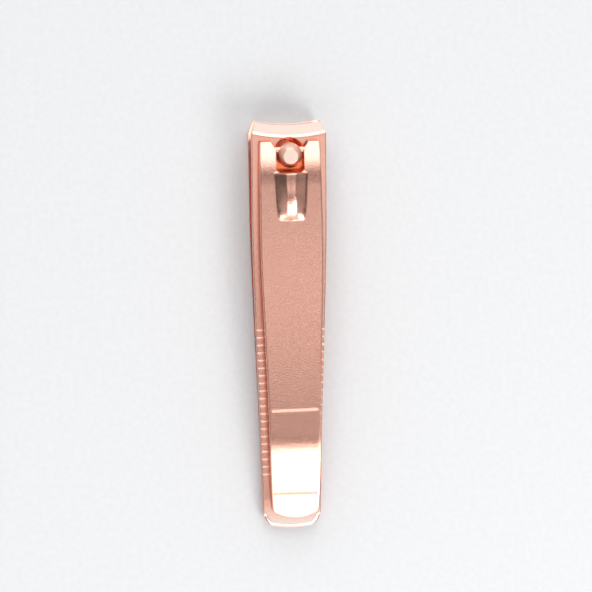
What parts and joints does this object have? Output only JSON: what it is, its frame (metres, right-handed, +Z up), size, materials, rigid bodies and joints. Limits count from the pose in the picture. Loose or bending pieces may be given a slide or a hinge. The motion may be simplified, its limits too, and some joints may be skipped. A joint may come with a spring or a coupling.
{
  "type": "toenail clipper",
  "caption": "Lever-type toenail clipper: bowed spring leaves with curved cutting jaws, a headed pivot post and a folding lever.",
  "frame": {"origin": "bottom centre of the bounding box, on the surface the clipper lies on", "axes": "+Y along the clipper from the tail to the cutting jaws, +X across it, +Z up towards the folded lever"},
  "size_m": [0.0148, 0.082, 0.0159],
  "materials": {
    "leaf_metal": "satin",
    "lever_metal": "satin",
    "post_metal": "gloss",
    "rivet_metal": "gloss"
  },
  "bodies": {
    "lower_leaf": {"lower_jaw": "leaf_metal", "tail_rivet": "rivet_metal"},
    "upper_leaf": {"upper_jaw": "leaf_metal"},
    "post": {"pivot_post": "post_metal"},
    "lever": {"lever": "lever_metal"}
  },
  "joints": [
    {"name": "jaw_squeeze", "type": "hinge", "parent": "lower_leaf", "child": "upper_leaf", "pos_m": [0, -0.03498, 0.00189], "axis": [-1, 0, 0], "range_deg": [0, 3.2], "stiffness_Nm_per_rad": 5, "springref_deg": -0.57},
    {"name": "post_swivel", "type": "hinge", "parent": "lower_leaf", "child": "post", "pos_m": [0, 0.03413, 0.01094], "axis": [0, -0.1184, 0.993], "continuous": true},
    {"name": "lever_tilt", "type": "hinge", "parent": "post", "child": "lever", "pos_m": [-0.00001, 0.03493, 0.01304], "axis": [-1, -0.0078, -0.0009], "range_deg": [0, 161]}
  ]
}
